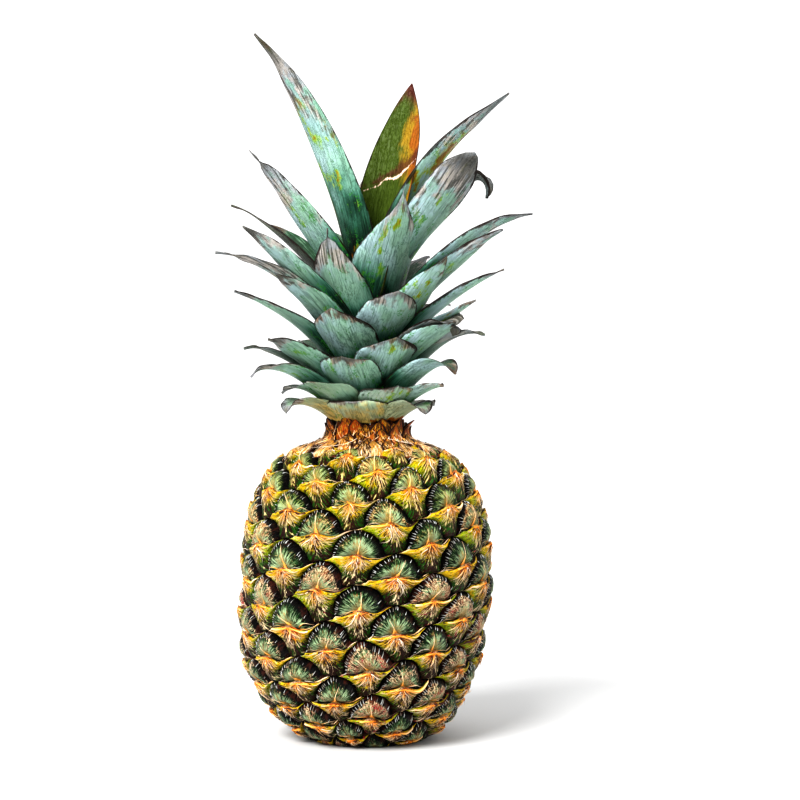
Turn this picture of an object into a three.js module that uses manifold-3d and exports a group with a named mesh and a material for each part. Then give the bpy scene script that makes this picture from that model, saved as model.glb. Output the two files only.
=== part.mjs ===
// A whole pineapple that stands on its trimmed base: the fruit with its spirals of eyes, the cut stalk let
// into the base, the collar of dry bracts round the neck, and the leafy crown. Millimetres, +Z up.
// The origin is the middle of the stalk's cut face, on the surface that the fruit stands on, and -Y is the front.
import * as THREE from "three";
import { mergeVertices } from "three/addons/utils/BufferGeometryUtils.js";
import Module from "manifold-3d";

const wasm = await Module();
wasm.setup();

// Fruit: the outline over the eyes is a superellipse below the widest height and another one above it.
const FRUIT_TOP = 147;
const FRUIT_RADIUS = 62.4;
const WIDEST_HEIGHT = 76;
const NECK_HEIGHT = 154;
const BELLY = { share: 0.906, power: 2.6 };
const SHOULDER = { share: 0.951, power: 2.84 };

// Eyes: they sit on one spiral, and every eighth and thirteenth of them are neighbours.
const EYE_TURN = THREE.MathUtils.degToRad(-137.3);
const EYE_RISE = 1.27;
const EYE_STEPS = { left: 8, right: 13 };
const FRONT_EYE = { index: 62, angle: THREE.MathUtils.degToRad(-92) };
const FIRST_EYE = -24;
const LAST_EYE = 172;
const EDGE_BULGE = 0.13;
const CREVICE_DEPTH = 4;
const END_FADE = 9;

// Base and stalk: the stalk's cut face is flush with the fruit's flat base.
const STALK_RADIUS = 11;
const STALK_LENGTH = 8;
const STALK_BEVEL = 0.8;
const GAP = 0.4;

// Collar and crown stem
const COLLAR = { bottomRadius: 26.5, topRadius: 20.5, height: 9.6, bracts: 13 };
const COLLAR_BOTTOM = FRUIT_TOP + GAP;
const CROWN_BOTTOM = COLLAR_BOTTOM + COLLAR.height + GAP;
const STEM_TOP = 224;
const STEM_RADIUS = { bottom: 20, top: 6 };

const GOLDEN_ANGLE = 137.5;
const BACK_LEAVES = 18;
const FULL_TURN = 2 * Math.PI;

const COLOURS = {
  rind: 0x6b6a2c,
  cutStalk: 0xb99a63,
  dryBract: 0xb8692a,
  leaf: 0x7fae9c,
};

// The leaves that can be seen from the front, from the lowest up: the height of the root, the tip's place (right,
// back and up), the width, how far the tip curls over and how far the blade rolls over on the way (degrees).
const FRONT_LEAVES = [
  [155, -9, -31, 167.5, 40, -15, 0],
  [156, -40, -24, 162, 24, 75, 0],
  [156, 29, -28, 161.5, 26, 70, 0],
  [158, 15, -37, 175, 30, -15, 0],
  [158, -29, -38, 176.5, 30, 15, 0],
  [159, -41, -24, 171, 22, 70, 0],
  [159, 37, -32, 175, 24, 15, 0],
  [163, -12.5, -41, 189, 31, -10, 0],
  [162, 43, -38, 181, 27, 70, 0],
  [160, -57, -30, 181, 26, 45, 0],
  [168, 14, -42, 198, 31, -15, 0],
  [166, -60, -20, 196, 22, 10, 0],
  [165, -47, -40, 198, 28, 5, 10],
  [166, 57, -32, 200, 26, 40, 0],
  [170, 42, -42, 206, 28, 5, -10],
  [176, -17, -43, 212, 31, -15, 0],
  [176, 52, -38, 216, 26, 5, 0],
  [177, -64, -34, 220, 24, 15, 0],
  [184, 15, -42, 220, 31, -15, 0],
  [183, 66, -30, 232, 24, 5, 0],
  [182, 38, -44, 236, 30, 0, -15],
  [184, -44, -44, 230, 28, 5, 15],
  [186, -73, -34, 239, 24, 30, 10],
  [190, -17, -39, 248, 31, -15, 0],
  [189, 65, -38, 250, 26, 8, -20],
  [190, -59, -40, 252, 27, 0, 20],
  [195, 79, -30, 262, 24, 10, -20],
  [200, -67, 6, 269, 20, 5, 0],
  [201, 17, -35, 267, 33, -15, 0],
  [206, 53, -34, 286, 36, -10, -30],
  [206, 62, 0, 273, 24, 70, 0],
  [202, -56, -34, 287, 29, 0, 25],
  [212, -53, -24, 347, 33, 8, 35],
  [214, 70, -10, 320, 23, 0, -35],
  [218, 23, 18, 327, 38, 10, 30],
];

// The young leaves at the heart, in the same terms
const HEART_LEAVES = [
  [205, -4, 12, 256, 20, -20, 0],
  [208, 9, -3, 252, 18, -20, 0],
  [208, -9, -4, 246, 18, -20, 0],
];

// A stand-in for chance that gives the same number every time.
function chance(index, salt) {
  const x = Math.sin(index * 127.1 + salt * 311.7) * 43758.5453;
  return x - Math.floor(x);
}

// A closed mesh's faces as a solid that can be joined and cut.
function solidFrom(geometry) {
  const bare = geometry.clone();
  bare.deleteAttribute("normal");
  bare.deleteAttribute("uv");
  const merged = mergeVertices(bare, 1e-3);
  return new wasm.Manifold(
    new wasm.Mesh({
      numProp: 3,
      vertProperties: merged.attributes.position.array,
      triVerts: new Uint32Array(merged.index.array),
    }),
  );
}

// The outer skin alone, so that pockets closed in between the joined pieces are filled
function filled(solid) {
  return wasm.Manifold.union(solid.decompose().filter((skin) => skin.volume() > 0));
}

function geometryFrom(solid) {
  const mesh = solid.getMesh();
  const geometry = new THREE.BufferGeometry();
  geometry.setAttribute("position", new THREE.BufferAttribute(new Float32Array(mesh.vertProperties), 3));
  geometry.setIndex(new THREE.BufferAttribute(new Uint32Array(mesh.triVerts), 1));
  geometry.computeVertexNormals();
  return geometry;
}

function geometryOf(points, triangles) {
  const geometry = new THREE.BufferGeometry();
  geometry.setAttribute("position", new THREE.Float32BufferAttribute(points.flat(), 3));
  geometry.setIndex(triangles.flat());
  return geometry;
}

function lathe(profile, segments) {
  const outline = profile.map(([radius, height]) => new THREE.Vector2(radius, height));
  return solidFrom(new THREE.LatheGeometry(outline, segments).rotateX(Math.PI / 2));
}

// The radius over the eyes at a height
function fruitRadius(height) {
  const low = height < WIDEST_HEIGHT;
  const reach = low
    ? (WIDEST_HEIGHT - height) / WIDEST_HEIGHT
    : (height - WIDEST_HEIGHT) / (NECK_HEIGHT - WIDEST_HEIGHT);
  const { share, power } = low ? BELLY : SHOULDER;
  return FRUIT_RADIUS * Math.sqrt(1 - (share * Math.max(0, reach)) ** power);
}

// The outline as a list of places with the length of rind from the base up to each of them
function rindOutline(steps = 240) {
  const places = [{ length: 0, radius: fruitRadius(0), height: 0 }];
  for (let step = 1; step <= steps; step++) {
    const height = (NECK_HEIGHT * step) / steps;
    const radius = fruitRadius(height);
    const last = places[step - 1];
    const length = last.length + Math.hypot(radius - last.radius, height - last.height);
    places.push({ length, radius, height });
  }
  return places;
}

const outline = rindOutline();
const rindLength = outline[outline.length - 1].length;

// The place at a length along the rind, raised or sunk by depth along the rind's own normal. Past either end
// of the rind the place runs straight on down or up, for the trim to cut away.
function rindPoint(angle, length, depth) {
  const inside = THREE.MathUtils.clamp(length, 0.01, rindLength - 0.01);
  const next = outline.findIndex((place) => place.length > inside);
  const [a, b] = [outline[next - 1], outline[next]];
  const share = (inside - a.length) / (b.length - a.length);
  const slope = Math.atan2(a.radius - b.radius, b.height - a.height);
  const past = length - inside;
  const radius = THREE.MathUtils.lerp(a.radius, b.radius, share) + depth * Math.cos(slope);
  const height = THREE.MathUtils.lerp(a.height, b.height, share) + depth * Math.sin(slope) + past;
  return [radius * Math.cos(angle), radius * Math.sin(angle), height];
}

// One eye is a diamond between four crevices. Across it runs the bract's free edge, from wing to wing: the
// bract fans out below that edge and the green dome of the eye rises above it. Each row gives the height in
// the diamond (-1 to 1), and for each point how far it is across and how far it stands out, in millimetres.
const EYE_ROWS = [
  [-1, [0, 0]],
  [-1 / 2, [-1 / 2, 0], [-0.24, 2.5], [0, 3.3], [0.24, 2.5], [1 / 2, 0]],
  [0, [-1, 0], [-0.62, 3.1], [-0.26, 4.1], [0, 5.2], [0.26, 4.1], [0.62, 3.1], [1, 0]],
  [0.07, [-1, 0], [-0.56, 1.6], [-0.2, 2.8], [0, 3.9], [0.2, 2.8], [0.56, 1.6], [1, 0]],
  [1 / 2, [-1 / 2, 0], [-0.3, 3.6], [0, 4.5], [0.3, 3.6], [1 / 2, 0]],
  [1, [0, 0]],
];
const SPINE_LIFT = 0.16;

const wrapAngle = (angle) => angle - FULL_TURN * Math.round(angle / FULL_TURN);
const STEP_ANGLES = {
  left: wrapAngle(EYE_STEPS.left * EYE_TURN),
  right: wrapAngle(EYE_STEPS.right * EYE_TURN),
};

// A point of an eye, from its place in the diamond
function eyePoint(index, across, up, lift) {
  const left = (up - across) / 2;
  const right = (up + across) / 2;
  const bulgedLeft = left + EDGE_BULGE * (1 - 4 * right * right) * 4 * left * left;
  const bulgedRight = right + EDGE_BULGE * (1 - 4 * left * left) * 4 * right * right;
  const angle =
    FRONT_EYE.angle +
    (index - FRONT_EYE.index) * EYE_TURN +
    bulgedLeft * STEP_ANGLES.left +
    bulgedRight * STEP_ANGLES.right;
  const length = EYE_RISE * (index + EYE_STEPS.left * bulgedLeft + EYE_STEPS.right * bulgedRight);
  const fromEnd = Math.min(length, rindLength - length) / END_FADE;
  const fade = THREE.MathUtils.smoothstep(fromEnd, -0.4, 1);
  return rindPoint(angle, length, (lift - CREVICE_DEPTH) * fade - (1 - fade));
}

// Joins two rows of points with triangles, going forward along whichever row is behind.
function zipRows(low, high, acrossLow, acrossHigh) {
  const triangles = [];
  let i = 0;
  let j = 0;
  while (i < low.length - 1 || j < high.length - 1) {
    const lowNext = i < low.length - 1 ? acrossLow[i + 1] : Infinity;
    const highNext = j < high.length - 1 ? acrossHigh[j + 1] : Infinity;
    if (lowNext < highNext || (lowNext === highNext && acrossLow[i] <= acrossHigh[j])) {
      triangles.push([low[i], low[i + 1], high[j]]);
      i += 1;
    } else {
      triangles.push([low[i], high[j + 1], high[j]]);
      j += 1;
    }
  }
  return triangles.filter(([a, b, c]) => a !== b && b !== c && a !== c);
}

// The skin of eyes runs past both ends, and a fan to a point on the axis closes it there.
function eyeSkin() {
  const points = [];
  const triangles = [];
  for (let index = FIRST_EYE; index <= LAST_EYE; index++) {
    const rows = EYE_ROWS.map(([up, ...places]) =>
      places.map(([across, lift]) => {
        const spine = up >= 0 && up < 0.1 && across === 0 ? SPINE_LIFT : 0;
        const level = Math.abs(across) === 1 ? 0 : up + spine;
        points.push(eyePoint(index, across, level, lift));
        return points.length - 1;
      }),
    );
    for (let row = 1; row < rows.length; row++) {
      const across = [row - 1, row].map((r) => EYE_ROWS[r].slice(1).map(([x]) => x));
      triangles.push(...zipRows(rows[row - 1], rows[row], across[0], across[1]));
    }
  }
  return closeEnds(mergeVertices(geometryOf(points, triangles), 1e-3));
}

function closeEnds(skin) {
  const corners = [...skin.index.array];
  const points = [...skin.attributes.position.array];
  const edges = new Map();
  for (let k = 0; k < corners.length; k += 3) {
    const [a, b, c] = corners.slice(k, k + 3);
    if (a === b || b === c || a === c) continue;
    [[a, b], [b, c], [c, a]].forEach(([from, to]) => edges.set(`${from},${to}`, [from, to]));
  }
  const bottom = points.length / 3;
  points.push(0, 0, EYE_RISE * (FIRST_EYE - 20), 0, 0, NECK_HEIGHT + EYE_RISE * (LAST_EYE - 90));
  for (const [from, to] of edges.values()) {
    if (edges.has(`${to},${from}`)) continue;
    corners.push(to, from, points[3 * from + 2] < WIDEST_HEIGHT ? bottom : bottom + 1);
  }
  const closed = new THREE.BufferGeometry();
  closed.setAttribute("position", new THREE.Float32BufferAttribute(points, 3));
  closed.setIndex(corners);
  return closed;
}

function fruit() {
  const slab = lathe([[0, 0], [90, 0], [90, FRUIT_TOP], [0, FRUIT_TOP]], 24);
  const socketRadius = STALK_RADIUS + GAP;
  const socketTop = STALK_LENGTH + GAP;
  const socket = lathe([[0, -2], [socketRadius, -2], [socketRadius, socketTop], [0, socketTop]], 24);
  return geometryFrom(solidFrom(eyeSkin()).intersect(slab).subtract(socket));
}

function stalk() {
  const profile = [
    [0, 0],
    [STALK_RADIUS - STALK_BEVEL, 0],
    [STALK_RADIUS, STALK_BEVEL],
    [STALK_RADIUS, STALK_LENGTH],
    [0, STALK_LENGTH],
  ];
  return geometryFrom(lathe(profile, 24));
}

// A blade as a closed solid. Its middle line is a Bezier curve that starts inside the stem, and its section
// is an arc that wraps the stem at the root and flattens towards the tip. Both faces share their columns.
function blade({ azimuth, root, tip, width, curl, roll, thickness, stations, columns, cup }) {
  const chord = new THREE.Vector2(tip.x - root.x, tip.y - root.y);
  const heading = Math.atan2(chord.y, chord.x);
  const bend = THREE.MathUtils.degToRad(curl);
  const startBend = 0.3 + 0.28 * Math.max(0, bend);
  const handle = (from, angle, share) =>
    new THREE.Vector2(from.x + share * chord.length() * Math.cos(angle), from.y + share * chord.length() * Math.sin(angle));
  const line = new THREE.CubicBezierCurve(
    root,
    handle(root, Math.min(heading + startBend, 1.5), 0.42),
    handle(tip, heading - 0.12 - bend, -0.3),
    tip,
  );
  const point = chord.length() < 60 ? 2.8 : 2;
  const points = [];
  for (let station = 0; station <= stations; station++) {
    const t = station / stations;
    const place = line.getPoint(t);
    const along = line.getTangent(t);
    const half = 0.5 * width * bladeWidth(t, point);
    const wrap = THREE.MathUtils.lerp(cup, 0.35, t);
    const arc = half / wrap;
    const turn = THREE.MathUtils.degToRad(roll) * t;
    for (const face of [-1, 1]) {
      for (let column = 0; column <= columns; column++) {
        const u = (2 * column) / columns - 1;
        const thin = 0.5 * Math.max(0.8, thickness * (1 - 0.55 * u * u) * (1 - 0.5 * t));
        const beside = (arc - face * thin) * Math.sin(wrap * u);
        const above = arc - (arc - face * thin) * Math.cos(wrap * u);
        const across = beside * Math.cos(turn) - above * Math.sin(turn);
        const inward = beside * Math.sin(turn) + above * Math.cos(turn);
        const out = place.x - along.y * inward;
        const height = place.y + along.x * inward;
        points.push([
          out * Math.sin(azimuth) + across * Math.cos(azimuth),
          -out * Math.cos(azimuth) + across * Math.sin(azimuth),
          height,
        ]);
      }
    }
  }
  return solidFrom(geometryOf(points, bladeTriangles(stations, columns)));
}

// The width along a blade, as a share of its widest: nearly parallel at first, then drawn out to a point
function bladeWidth(t, point) {
  return (0.86 + 0.4 * t) * (1 - t ** point) + 0.05;
}

function bladeTriangles(stations, columns) {
  const side = columns + 1;
  const ring = 2 * side;
  const loop = [...Array(side).keys(), ...[...Array(side).keys()].map((k) => ring - 1 - k)];
  const triangles = [];
  for (let station = 0; station < stations; station++) {
    const [low, high] = [station * ring, (station + 1) * ring];
    loop.forEach((here, k) => {
      const next = loop[(k + 1) % ring];
      triangles.push([low + here, low + next, high + next], [low + here, high + next, high + here]);
    });
  }
  for (let column = 0; column < columns; column++) {
    const [a, b] = [column, column + 1];
    const last = stations * ring;
    triangles.push([a, a + side, b], [b, a + side, b + side]);
    triangles.push([last + a, last + b, last + a + side], [last + b, last + b + side, last + a + side]);
  }
  return triangles;
}

function stemRadius(height) {
  const share = (height - CROWN_BOTTOM) / (STEM_TOP - CROWN_BOTTOM);
  return THREE.MathUtils.lerp(STEM_RADIUS.bottom, STEM_RADIUS.top, share);
}

function leaf([rootHeight, right, back, tipHeight, width, curl, roll]) {
  const tip = new THREE.Vector2(Math.hypot(right, back), tipHeight);
  const root = new THREE.Vector2(stemRadius(rootHeight) - 4, rootHeight);
  return blade({
    azimuth: Math.atan2(right, -back),
    root,
    tip,
    width,
    curl,
    roll,
    thickness: 2.6,
    stations: root.distanceTo(tip) > 60 ? 5 : 4,
    columns: width > 30 ? 4 : 2,
    cup: 0.95,
  });
}

// The leaves behind, which repeat the front's growth up the stem by the golden angle
function backLeaves() {
  return [...Array(BACK_LEAVES).keys()].map((index) => {
    const rise = (index / BACK_LEAVES) ** 1.25;
    const azimuth = THREE.MathUtils.degToRad(126 + (108 * ((index * GOLDEN_ANGLE) % 360)) / 360);
    const rootHeight = 157 + 62 * rise;
    const reach = 38 + 22 * Math.sin(2.2 * rise) + 6 * chance(index, 1);
    const tipHeight = rootHeight + 9 + 72 * rise + 7 * chance(index, 2);
    const width = 25 + 3.5 * Math.sin(Math.PI * rise) + 1.5 * chance(index, 3);
    const curl = 8 + 50 * (1 - rise) * chance(index, 4);
    return [rootHeight, reach * Math.sin(azimuth), -reach * Math.cos(azimuth), tipHeight, width, curl, 0];
  });
}

function crown() {
  const stem = lathe(
    [
      [0, CROWN_BOTTOM],
      [STEM_RADIUS.bottom, CROWN_BOTTOM],
      [STEM_RADIUS.top, STEM_TOP],
      [0, STEM_TOP],
    ],
    16,
  );
  const above = lathe([[0, CROWN_BOTTOM], [120, CROWN_BOTTOM], [120, 400], [0, 400]], 16);
  const leaves = [...FRONT_LEAVES, ...HEART_LEAVES, ...backLeaves()].map(leaf);
  return geometryFrom(filled(wasm.Manifold.union([stem, ...leaves]).intersect(above)));
}

function collarBract(index) {
  const turn = (index * 360) / COLLAR.bracts + 8 * chance(index, 6);
  const flare = chance(index, 7) ** 2;
  return blade({
    azimuth: THREE.MathUtils.degToRad(turn),
    root: new THREE.Vector2(COLLAR.bottomRadius - 2.5, COLLAR_BOTTOM + 1),
    tip: new THREE.Vector2(COLLAR.topRadius + 2 + 8 * flare, CROWN_BOTTOM - 1 - 2 * flare),
    width: 12 + 2 * chance(index, 8),
    curl: 30 * flare,
    roll: 0,
    thickness: 1.8,
    stations: 3,
    columns: 2,
    cup: 0.5,
  });
}

function collar() {
  const top = COLLAR_BOTTOM + COLLAR.height;
  const { bottomRadius, topRadius } = COLLAR;
  const neck = lathe([[0, COLLAR_BOTTOM], [bottomRadius, COLLAR_BOTTOM], [topRadius, top], [0, top]], 26);
  const slab = lathe([[0, COLLAR_BOTTOM], [60, COLLAR_BOTTOM], [60, top], [0, top]], 24);
  const bracts = [...Array(COLLAR.bracts).keys()].map(collarBract);
  return geometryFrom(filled(wasm.Manifold.union([neck, ...bracts]).intersect(slab)));
}

function piece(name, geometry, color, roughness) {
  const mesh = new THREE.Mesh(geometry, new THREE.MeshStandardMaterial({ color, roughness, metalness: 0 }));
  mesh.name = name;
  return mesh;
}

const pineapple = new THREE.Group();
pineapple.add(
  piece("fruit", fruit(), COLOURS.rind, 0.6),
  piece("cut_stalk", stalk(), COLOURS.cutStalk, 0.9),
  piece("collar_bracts", collar(), COLOURS.dryBract, 0.8),
  piece("crown", crown(), COLOURS.leaf, 0.65),
);

export default pineapple;
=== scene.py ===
"""A whole pineapple on a white surface: its rind of eyes, cut stalk, dry collar and leafy crown."""
import math

import bpy
import numpy as np
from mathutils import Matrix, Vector


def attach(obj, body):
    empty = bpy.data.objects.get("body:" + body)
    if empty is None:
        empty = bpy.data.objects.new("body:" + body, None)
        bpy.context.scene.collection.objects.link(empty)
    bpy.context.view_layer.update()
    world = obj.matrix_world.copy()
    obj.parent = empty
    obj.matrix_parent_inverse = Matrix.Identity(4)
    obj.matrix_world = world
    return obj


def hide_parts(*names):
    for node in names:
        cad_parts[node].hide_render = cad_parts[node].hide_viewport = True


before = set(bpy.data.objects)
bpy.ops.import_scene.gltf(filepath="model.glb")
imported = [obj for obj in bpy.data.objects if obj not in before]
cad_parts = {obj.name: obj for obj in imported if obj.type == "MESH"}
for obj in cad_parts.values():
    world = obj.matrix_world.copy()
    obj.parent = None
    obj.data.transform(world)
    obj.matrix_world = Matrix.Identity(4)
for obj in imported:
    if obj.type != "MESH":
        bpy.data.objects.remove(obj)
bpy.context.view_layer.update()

# Fruit
# One grown piece whose rind is about a hundred and fifty eyes. Each eye is a green dome over a fleshy bract
# that ends in a free edge, pointed at both sides, with a dry spine in its middle. It is firm, waxy and a
# little wet.
FRUIT_RADIUS = 0.0624
WIDEST_HEIGHT = 0.076
NECK_HEIGHT = 0.154
# How far the outline closes in towards its end, and how late, below and above its widest height
BELLY = (0.906, 2.6)
SHOULDER = (0.951, 2.84)
# The outline from the shoulder to the top of the neck
NECK_HEIGHTS = (0.134, 0.138, 0.141, 0.1430, 0.1445, 0.1456, 0.1470, 0.1486, 0.1505, 0.1530, 0.159)
NECK_RADII = (0.0491, 0.0457, 0.0420, 0.0384, 0.0340, 0.0292, 0.0246, 0.0221, 0.0207, 0.0198, 0.0195)
OUTLINE_POINTS = 600
OUTLINE_SMOOTHING = 15
LEAN = 0.0026
LEAN_HEIGHT = 0.080
# Each eye sits one turn round the fruit and one rise along its rind from the one before it
EYE_TURN = math.radians(-137.3)
EYE_RISE = 0.00127
LEFT_SPIRALS = 8
RIGHT_SPIRALS = 13
# The eye in the middle of the front, and the first and last ones, which the base and the neck hide
FRONT_EYE = 62
FRONT_EYE_ANGLE = math.radians(-92)
FIRST_EYE = -16
LAST_EYE = 150
EYE_GRID = 24
CREVICE_DEPTH = 0.0040
FREE_EDGE_LIFT = 0.0010
END_FADE = 0.009
RIND_TOP = 0.1490
STALK_HOLE_RADIUS = 0.0112
# How far the spines and fibres stay from the two ends of the rind
BARE_BOTTOM = 0.004
BARE_TOP = 0.006
FIBRES_PER_EYE = 27
TEETH_PER_EYE = 26


def fruit_radius(height):
    """The radius of the outline below the neck."""
    low = height < WIDEST_HEIGHT
    reach = np.where(
        low,
        (WIDEST_HEIGHT - height) / WIDEST_HEIGHT,
        (height - WIDEST_HEIGHT) / (NECK_HEIGHT - WIDEST_HEIGHT),
    )
    share = np.where(low, BELLY[0], SHOULDER[0])
    power = np.where(low, BELLY[1], SHOULDER[1])
    return FRUIT_RADIUS * np.sqrt(1 - (share * np.clip(reach, 0, 1)) ** power)


outline_height = np.linspace(0, NECK_HEIGHTS[-1], OUTLINE_POINTS)
outline_radius = np.where(
    outline_height < NECK_HEIGHTS[0],
    fruit_radius(np.minimum(outline_height, NECK_HEIGHTS[0])),
    np.interp(outline_height, NECK_HEIGHTS, NECK_RADII),
)
rounding = np.hanning(OUTLINE_SMOOTHING)
rounded = np.convolve(outline_radius, rounding / rounding.sum(), "same")
between_ends = slice(OUTLINE_SMOOTHING // 2 + 1, -(OUTLINE_SMOOTHING // 2 + 1))
outline_radius[between_ends] = rounded[between_ends]
outline_step = np.hypot(np.diff(outline_radius), np.diff(outline_height))
outline_length = np.concatenate([[0], np.cumsum(outline_step)])
outline_slope = np.arctan2(-np.gradient(outline_radius), np.gradient(outline_height))
RIND_LENGTH = outline_length[-1]


def rind_point(angle, length, lift):
    """A place on the rind, lifted along its own normal. Past the base's rim it turns in under the fruit."""
    radius = np.interp(length, outline_length, outline_radius)
    height = np.interp(length, outline_length, outline_height)
    slope = np.interp(length, outline_length, outline_slope)
    under = np.minimum(length, 0)
    radius = radius + under + lift * np.cos(slope) * (under == 0)
    height = height + np.where(under < 0, -0.5 * lift, lift * np.sin(slope))
    height = np.maximum(height, 0.0002)
    lean = LEAN * np.sin(math.pi * np.clip(height / LEAN_HEIGHT, 0, 1))
    return np.stack([radius * np.cos(angle) - lean, radius * np.sin(angle), height], axis=-1)


def chance(index, salt):
    """A stand-in for chance that gives the same number every time."""
    value = np.sin(np.asarray(index) * 127.1 + salt * 311.7) * 43758.5453
    return value - np.floor(value)


def smooth(value, low, high):
    share = np.clip((value - low) / (high - low), 0, 1)
    return share * share * (3 - 2 * share)


def wrapped(angle):
    return angle - 2 * math.pi * round(angle / (2 * math.pi))


LEFT_STEP = wrapped(LEFT_SPIRALS * EYE_TURN)
RIGHT_STEP = wrapped(RIGHT_SPIRALS * EYE_TURN)


def edge_bulge(share):
    """How far the edge between two eyes strays: in above the wing tip, and out round the dome."""
    place = share + 0.5
    pinch = place / 0.16
    round_out = 0.07 * np.sin(math.pi * place) - 0.03 * np.sin(2 * math.pi * place)
    return round_out - 0.15 * pinch**2 * np.exp(2 - 2 * pinch)


def eye_place(index, across, up, lift):
    """A point of an eye. Across runs from its left corner, -1, to its right one, and up from -1 to 1."""
    left = (up - across) / 2
    right = (up + across) / 2
    bulged_left = left + edge_bulge(right) * 4 * left**2
    bulged_right = right + edge_bulge(left) * 4 * right**2
    turn = (index - FRONT_EYE) * EYE_TURN
    angle = FRONT_EYE_ANGLE + turn + bulged_left * LEFT_STEP + bulged_right * RIGHT_STEP
    length = EYE_RISE * (index + LEFT_SPIRALS * bulged_left + RIGHT_SPIRALS * bulged_right)
    wander = 0.026 * np.sin(length * 95 + 2 * angle) + 0.014 * np.sin(length * 210 - 5 * angle + 2)
    slip = 0.0011 * np.sin(length * 60 + 3 * angle + 1.3) + 0.0006 * np.sin(9 * angle - length * 130)
    length = length + slip
    fade = smooth(np.minimum(length, RIND_LENGTH - length) / END_FADE, -0.4, 1)
    return rind_point(angle + wander, length, (lift - CREVICE_DEPTH) * fade - 0.001 * (1 - fade))


def bract_edge(across, index):
    """How far the bract's free edge is above the eye's middle: less by the spine, more at the wings."""
    side = np.abs(across)
    dip = (0.05 + 0.05 * chance(index, 21)) * np.sin(np.pi * side) ** 2
    level = 0.20 + 0.14 * (chance(index, 22) - 0.5)
    peak = 0.05 * np.exp(-((across / 0.15) ** 2))
    return peak - 0.04 - dip - level * across + 0.07 * smooth(side, 0.5, 0.9)


def eye_lift(across, up, index):
    """How far the surface of an eye stands out over the crevice round it, in metres."""
    side = np.abs(across)
    angle = np.arctan2(up - 0.03, across)
    reach = np.hypot(across, up - 0.03)
    inner = np.clip(1 - np.abs(up) / np.maximum(1 - side, 1e-4), 0, 1)
    lip = 3.6 * (1 - side**6) + 0.9 * np.exp(-((across / 0.2) ** 2)) + 0.5 * chance(index, 1)
    ribs = 0.5 * np.sin(angle * 21 + 6 * chance(index, 2)) + 0.4 * np.sin(angle * 37 + 6 * chance(index, 3))
    bract = lip * (1 - (1 - inner) ** 2.8) ** 0.8 + 0.5 * ribs * smooth(reach, 0.08, 0.3) * inner
    swell = np.minimum(0.36 + 2.0 * up, 1) * (1 - np.clip((up - 0.3) / 0.7, 0, 1) ** 2.6)
    width = np.clip(side / np.maximum(1 - up, 1e-4), 0, 1)
    crown = (4.5 + 0.7 * chance(index, 4)) * swell * (1 - width**2.8) ** 0.75
    pleats = np.sin(angle * 29 + 6 * chance(index, 5)) + 0.7 * np.sin(angle * 47 + 6 * chance(index, 6))
    wrinkles = 0.2 * pleats * smooth(reach, 0.15, 0.6) * (1 - width**4)
    dome = np.maximum(crown + wrinkles * (1 - 0.6 * up), 0)
    return 0.001 * np.where(up <= 0, bract, dome)


def eye_surface(index, across, up, raised=0.0):
    """A point on an eye, or raised off it, with the bract's free edge along its own line."""
    room = np.clip((1 - np.abs(across) - np.abs(up)) / 0.25, 0, 1)
    shift = bract_edge(across, index) * room * np.exp(-((up / 0.35) ** 2))
    inside = np.clip(1.02 / (np.abs(across) + np.abs(up) + 1e-6), 0, 1)
    return eye_place(index, across, up + shift, eye_lift(across * inside, up * inside, index) + raised)


def build_mesh(name, points, faces, material, **values):
    """A smooth mesh with one number at each point for every named value."""
    mesh = bpy.data.meshes.new(name)
    mesh.from_pydata(points.tolist(), [], faces.tolist())
    for key, numbers in values.items():
        layer = mesh.attributes.new(key, "FLOAT", "POINT")
        layer.data.foreach_set("value", np.asarray(numbers, dtype=np.float32).ravel())
    mesh.shade_smooth()
    mesh.materials.append(material)
    piece = bpy.data.objects.new(name, mesh)
    bpy.context.scene.collection.objects.link(piece)
    return piece


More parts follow.
